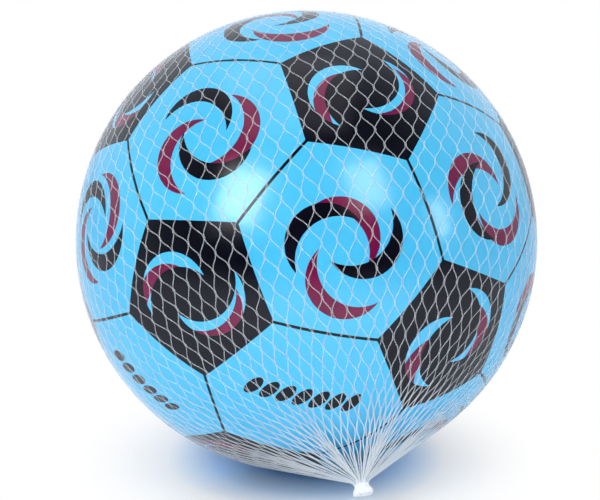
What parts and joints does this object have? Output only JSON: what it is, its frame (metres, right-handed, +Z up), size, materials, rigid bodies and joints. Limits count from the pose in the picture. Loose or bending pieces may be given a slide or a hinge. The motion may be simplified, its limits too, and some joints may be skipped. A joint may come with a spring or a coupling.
{
  "type": "rubber play ball",
  "caption": "Inflated rubber play ball with printed black and blue panels and a push-in valve plug, in a clear net bag gathered and melted shut at both ends.",
  "frame": {"origin": "on the ground, straight under the middle of the ball", "axes": "+Z up, -Y towards the side that the picture is taken from, +X to its right"},
  "size_m": [0.2229, 0.2227, 0.2221],
  "materials": {
    "printed_skin": "glossy, printed",
    "valve_rubber": "satin",
    "plug_plastic": "satin",
    "net_plastic": "glossy, slightly clear",
    "melted_net": "glossy, milky"
  },
  "bodies": {
    "ball": {"ball_skin": "printed_skin", "valve_body": "valve_rubber", "net_sleeve": "net_plastic", "front_seal": "melted_net", "rear_seal": "melted_net"},
    "plug": {"valve_plug": "plug_plastic"}
  },
  "joints": [
    {"name": "valve_plug_pull", "type": "slide", "parent": "ball", "child": "plug", "axis": [-0.5811, 0.7909, 0.1916], "range_m": [0, 0.013]}
  ]
}
